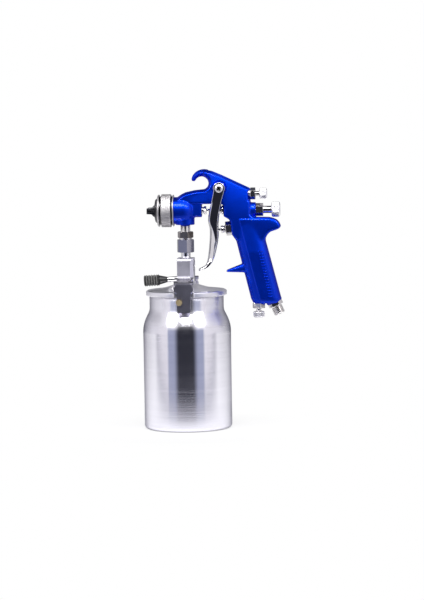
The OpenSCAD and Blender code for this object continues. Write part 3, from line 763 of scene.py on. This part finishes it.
# %% Cup
def spline(points, steps):
    """A smooth line through the points."""
    points = [Vector(p) for p in points]
    line = []
    for i in range(len(points) - 1):
        a, b, c, d = (points[min(max(i + k, 0), len(points) - 1)] for k in (-1, 0, 1, 2))
        for j in range(steps):
            t = j / steps
            line.append(0.5 * (
                2 * b + (c - a) * t + (2 * a - 5 * b + 4 * c - d) * t * t + (3 * b - a - 3 * c + d) * t ** 3
            ))
    return line + [points[-1]]


CUP, NECK, CORNER, SHEET = 50, 42.2, 4.5, 1.3


def wall(inside):
    """The cup's wall from the rolled corner up to the rim, drawn in by the given distance."""
    top = RIM / MM
    turns = [math.radians(9 * i) for i in range(11)]
    roll = CORNER - inside
    foot = [(CUP - CORNER + roll * math.sin(a), CORNER - roll * math.cos(a)) for a in turns]
    side = [(CUP - inside, 14 + 9.8 * i) for i in range(10)]
    shoulder = spline([
        (CUP, top - 47), (CUP, top - 43), (49.4, top - 37.6), (47.6, top - 31.4), (45.2, top - 26),
        (43.2, top - 22), (42.3, top - 18.4), (NECK, top - 15), (NECK, top - 8),
    ], 4)
    return foot + side + [(p.x - inside, p.y - inside / 3) for p in shoulder] + [(NECK - inside, top - 0.02)]


base = [(0, 1.1), (37, 1.1), (39.6, 0.7), (41.4, 0.02)]
inner = wall(SHEET)[::-1] + [(0, 1.1 + SHEET)]
cup = turned("spun_cup", base + wall(0) + inner, 128)
dress(cup, "cup", "spun_aluminium", "cup")

# %% [markdown]
# ## Knurled pieces
#
# A knurl is rolled into a turned part so that wet fingers can hold it. Its teeth are part of the mesh here: the
# lathe makes a band with enough points, and each point is then moved in or out by the pattern. A bump in the
# material would be quicker, but its outline would stay smooth. Straight teeth suit the knobs, and crossed ones the
# ring round the air cap.

# %% A knurl
def band(r, h0, h1, rows):
    """A straight stretch of profile with enough points to be knurled."""
    return [(r, h0 + (h1 - h0) * i / rows) for i in range(rows + 1)]


def saw(t):
    """A zigzag from 0 to 1 and back, once for each whole number."""
    return abs(2 * (t - math.floor(t)) - 1)


def knurl(piece, place, radius, depth, teeth, ends, slant=0.0):
    """Presses teeth into the band at the given radius, straight or crossed."""
    back_to_lathe = place.inverted()
    for point in piece.data.vertices:
        at = back_to_lathe @ point.co
        r = math.hypot(at.x, at.y)
        if r > (radius - 0.02) * MM and ends[0] < at.z / MM < ends[1]:
            turn = math.atan2(at.y, at.x) / (2 * math.pi) * teeth
            along = at.z / MM * slant
            tooth = saw(turn) if not slant else min(saw(turn + along), saw(turn - along)) * 1.3
            r_new = r - depth * MM * (1 - min(1, tooth * 1.25))
            at.x, at.y = at.x * r_new / r, at.y * r_new / r
            point.co = place @ at
    piece.data.update()


# %% [markdown]
# ## The air cap ring
#
# The ring holds the air cap on the head. It is a nickel band with a crossed knurl between two lips, and a groove
# beside each lip. The grooves could be left to their own shadow, but they mirror the white tent, so their faces get
# a dark finish as painted shade.

# %% Air cap ring
RING, RING_TEETH = 18.7, 110
ring_place = along_x(0, 0)
front_lip = filleted([
    (13.9, -28.7), (13.9, -31.2), (16.9, -31.2), (18.2, -30.2), (18.2, -29.0), (16.3, -28.5), (16.3, -27.4),
    (18.3, -26.7),
], 0.3, 3)
rear_lip = filleted([
    (18.3, -15.7), (16.3, -15.0), (16.3, -14.2), (18.0, -13.8), (18.0, -13.1), (17.4, -12.5), (15.4, -12.5),
], 0.3, 3)
ring_profile = front_lip + band(RING, -26.4, -16.0, 40) + rear_lip + [(15.4, -28.7), (13.9, -28.7)]
ring = turned("knurled_ring", ring_profile, RING_TEETH * 4, ring_place)
knurl(ring, ring_place, RING, 0.42, RING_TEETH, (-26.3, -16.1), slant=0.93)
dress(ring, "cap_ring", "nickel", "air_cap_ring", angle=50, finish=satin_nickel)
# Painted shade: the faces of the two grooves take the dark chrome finish.
ring.data.materials.append(finishes["dark_chrome"])
for face in ring.data.polygons:
    at = ring_place.inverted() @ face.center / MM
    face.material_index = int(15.6 < math.hypot(at.x, at.y) < 17.6 and -28.9 < at.z < -13.9)
print("groove faces:", sum(face.material_index for face in ring.data.polygons))

# %% [markdown]
# ## The control knobs
#
# Three knobs set the paint, the width of the spray and the air. They are one design in three sizes, so one function
# turns and knurls them, and each gets its own mesh because their radii and bores differ.

# %% Control knobs
def knob(name, node, body, place, radius, h0, h1, bore, teeth):
    """A turned knob with a knurled rim, a chamfer on both edges and a shallow dish in its crown."""
    crown = filleted([
        (bore, h0 + 0.1), (bore, h0), (radius - 1.3, h0), (radius - 0.1, h0 + 0.9), (radius - 0.05, h0 + 1.2)
    ], 0.4, 3)
    top = filleted([
        (radius - 0.05, h1 - 1.5), (radius - 0.2, h1 - 1.1), (radius - 1.3, h1 - 0.1), (radius * 0.62, h1),
        (radius * 0.55, h1 - 0.35), (0, h1 - 0.4),
    ], 0.5, 3)
    piece = turned(name, crown + band(radius, h0 + 1.3, h1 - 1.6, 6) + top, teeth * 6, place)
    knurl(piece, place, radius, 0.4, teeth, (h0 + 1.2, h1 - 1.5))
    return dress(piece, body, "nickel", node, angle=40, finish=pale_steel)


knob("fluid_knob_turned", "fluid_knob", "fluid_knob", along_x(0, 0), 8.5, 98.3, 108, 4.2, 40)
knob("fan_knob_turned", "fan_knob", "fan_knob", along_x(0, 18.3), 6.05, 84.6, 93.3, 2.55, 30)
down = Matrix.Translation((82.3 * MM, 0, AXIS)) @ Matrix.Rotation(math.pi, 4, "X")
knob("regulator_knob_turned", "regulator_knob", "regulator_knob", down, 6.5, 115.5, 122.8, 3.0, 32)

# %% [markdown]
# ## The lever's grip
#
# The cam lever ends in a black plastic grip with five thick rings and fine teeth across them. A wave in the turned
# profile gives the rings. The faces on their crowns are painted grey, a painted highlight, so the rings show even on
# black.

# %% Lever grip
GRIP, GRIP_RINGS, RING_ROWS, RING_DEEP = 6.55, 5, 8, 1.0
GRIP_FROM, GRIP_LONG = 31.8, 14.8
lever = Matrix.Translation((0, 0, RIM + 15.8 * MM)) @ Matrix.Rotation(math.radians(-93), 4, "Y")
start_of_grip = filleted([(2.45, 30.6), (2.45, 30.4), (5.2, 30.4), (6.4, 31.3), (6.5, 31.6)], 0.5, 3)
end_of_grip = filleted([(6.5, 46.8), (6.3, 47.2), (5.2, 48.1), (0, 48.1)], 0.6, 3)
rows = GRIP_RINGS * RING_ROWS
waves = [math.cos(2 * math.pi * (i / RING_ROWS - 0.5)) for i in range(rows + 1)]
rings = [(GRIP - RING_DEEP * (1 - wave) / 2, GRIP_FROM + GRIP_LONG * i / rows) for i, wave in enumerate(waves)]
grip = turned("knurled_grip", start_of_grip + rings + end_of_grip, 168, lever)
knurl(grip, lever, GRIP - RING_DEEP - 0.05, 0.45, 28, (GRIP_FROM - 0.1, GRIP_FROM + GRIP_LONG + 0.1))
dress(grip, "cam_lever", "black_grip", "lever_grip", angle=45)
grip.data.materials.append(painted_highlight_grip)
# Painted highlight: the faces on the crowns of the rings take the grey finish.
for face in grip.data.polygons:
    at = lever.inverted() @ face.center / MM
    face.material_index = int(math.hypot(at.x, at.y) > 5.9 and GRIP_FROM < at.z < GRIP_FROM + GRIP_LONG)
print("rubbed faces:", sum(face.material_index for face in grip.data.polygons))

# %% [markdown]
# ## The air inlet
#
# The hose screws onto a nipple with a pipe thread. A helix could be cut with the Screw modifier, but here the
# lathe makes a plain sleeve with many rows, and each point's radius follows its height plus its share of one
# turn. That gives a true helix whose ends run out smoothly.

# %% Threaded nipple
THREAD, PITCH, THREAD_DEEP, RUN_OUT = 6.58, 1.337, 0.75, 0.9
inlet = Matrix.Translation((101.3 * MM, 0, AXIS - 107.6 * MM)) @ Matrix.Rotation(math.radians(180 - 24), 4, "Y")
neck = filleted([(4.0, -11.8), (5.85, -11.8), (5.85, 3.2), (5.5, 3.25)], 0.3, 2)
mouth = filleted([(5.6, 12.0), (5.2, 12.2), (4.0, 12.2), (4.0, -11.8)], 0.3, 2)
nipple = turned("threaded_nipple", neck + band(THREAD, 3.3, 11.8, 56) + mouth, 64, inlet)
unturn = inlet.inverted()
for point in nipple.data.vertices:
    at = unturn @ point.co
    r, h = math.hypot(at.x, at.y) / MM, at.z / MM
    if r > 6.5 and 3.2 < h < 11.9:
        root = THREAD_DEEP * saw(h / PITCH + math.atan2(at.y, at.x) / (2 * math.pi))
        cut = max(root, RUN_OUT * (1 - ease(3.3, 3.9, h)), RUN_OUT * ease(10.9, 11.8, h))
        at.x, at.y = at.x * (r - cut) / r, at.y * (r - cut) / r
        point.co = inlet @ at
nipple.data.update()
print("thread of", PITCH, "mm pitch")

# %% Hexagon of the nipple
ACROSS_FLATS, HEXAGON_THICK = 15, 4.6
bpy.ops.object.select_all(action="DESELECT")
bpy.ops.mesh.primitive_cylinder_add(
    vertices=6, radius=ACROSS_FLATS / math.sqrt(3) * MM, depth=HEXAGON_THICK * MM
)
hexagon = bpy.context.object
hexagon.data.transform(inlet @ Matrix.Translation((0, 0, -0.1 * MM)) @ Matrix.Rotation(math.radians(30), 4, "Z"))
apply(hexagon, "BEVEL", width=0.5 * MM, segments=3, limit_method="ANGLE")
nipple.select_set(True)
bpy.context.view_layer.objects.active = nipple
bpy.ops.object.join()
dress(nipple, "gun", "nickel", "air_inlet", angle=40)

# %% [markdown]
# ## The trigger
#
# The trigger is a plated casting: two flat cheeks at the pivot that run down into one curved blade. The front is a
# rounded nose. Behind it a slanted facet starts as a thin strip and takes up the whole blade further down, so the
# dark reflection of the cheek ends in a point. A remeshed copy of the CAD trigger gets the rolled edges, and its
# points are then drawn in along the nose and the facet.

# %% Trigger
trigger = copy_of("trigger", "trigger_casting")
apply(trigger, "REMESH", mode="VOXEL", voxel_size=0.45 * MM)
apply(trigger, "SMOOTH", factor=0.5, iterations=4)
FRONT = spline([
    (8.6, 30.6), (-0.1, 27.9), (-11.5, 26.4), (-23, 28.2), (-42.4, 26.9), (-58.4, 24.4), (-63.4, 21), (-66.6, 14.7),
], 6)


def front_at(z):
    """The front edge of the trigger at a height over the spray axis."""
    for a, b in zip(FRONT, FRONT[1:]):
        if b.x <= z <= a.x:
            return a.y + (b.y - a.y) * (z - a.x) / (b.x - a.x)
    return FRONT[0].y if z > 0 else FRONT[-1].y


for point in trigger.data.vertices:
    x, y, z = point.co.x / MM, point.co.y / MM, (point.co.z - AXIS) / MM
    behind = x - front_at(z)
    nose = ease(12, -4, z)
    facet = 1.2 + 6.6 * ease(-6, -43, z)
    wide = 1 - 0.30 * nose * max(0, 1 - behind / 2.4) ** 2
    wide -= 0.042 * ease(0, -12, z) * ease(-61, -53, z) * max(0, facet - behind)
    wide -= 0.08 * ease(-34, -44, z) * ease(-61, -53, z) * max(0, behind - facet + 1.4)
    point.co.y = y * wide * MM
trigger.data.update()
dress(trigger, "trigger", "chrome", "trigger")

# %% [markdown]
# ## Springs
#
# Pulling the trigger presses two springs together, one behind the needle and one behind the air valve. A wire can't be
# both fixed at one end and carried at the other. Each spring here is a copy of its CAD node with its own mesh; its
# fixed end and the share of its length that the trigger takes up are worked out, but the copy is not squashed.

# %% Springs
def end_of(node, axis, side):
    """The last point of a node along an axis, 1 for the far end and -1 for the near one."""
    return side * max(side * v.co.dot(axis) for v in cad[node].data.vertices)


VALVE_TILT = math.radians(7)
springs = {
    "needle_spring": (Vector((1, 0, 0)), 3.6),
    "air_valve_spring": (Vector((math.cos(VALVE_TILT), 0, math.sin(VALVE_TILT))), 9.3),
}
for node, (axis, travel) in springs.items():
    spring = copy_of(node, "coiled_" + node)
    near, far = end_of(node, axis, -1), end_of(node, axis, 1)
    middle = sum((v.co for v in spring.data.vertices), Vector()) / len(spring.data.vertices)
    dress(spring, "gun", slots[node], node, angle=60)
    middle + axis * (far - middle.dot(axis))
    1 - travel * MM / (far - near)
    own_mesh(spring)
    print(node, "is", round((far - near) / MM, 1), "mm long and gives way by", travel, "mm")

# %% [markdown]
# ## Edges that catch the light
#
# The nuts, the lid, the air cap and the small fittings keep their CAD meshes. What they lack is the tiny
# rounding that every machined edge has, which draws a bright line in a photograph. A Weld modifier joins their
# triangles and a Bevel modifier rounds each edge that is sharper than 30 degrees. The widths are in millimetres.

# %% Bevel the machined parts
edges = {
    "lid": 0.5, "air_cap": 0.35, "union_nut": 0.4, "inlet_lock_nut": 0.4, "fluid_nut": 0.4, "fan_valve_body": 0.35,
    "regulator_body": 0.35, "air_valve_body": 0.35, "air_valve_gland": 0.3, "packing_nut": 0.3, "needle_bush": 0.3,
    "trigger_nut": 0.3, "cup_studs": 0.3, "yoke": 0.7, "cam_lever": 0.3, "siphon_tube": 0.3,
    "fluid_screw": 0.3, "fan_valve_stem": 0.2, "regulator_stem": 0.2, "fluid_inlet": 0.3,
}
for name, width in edges.items():
    weld = cad[name].modifiers.new("weld", "WELD")
    weld.merge_threshold = 0.002 * MM
    bevel = cad[name].modifiers.new("rolled_edges", "BEVEL")
    bevel.width, bevel.segments, bevel.angle_limit = width * MM, 2, math.radians(30)
print("bevelled", len(edges), "parts")
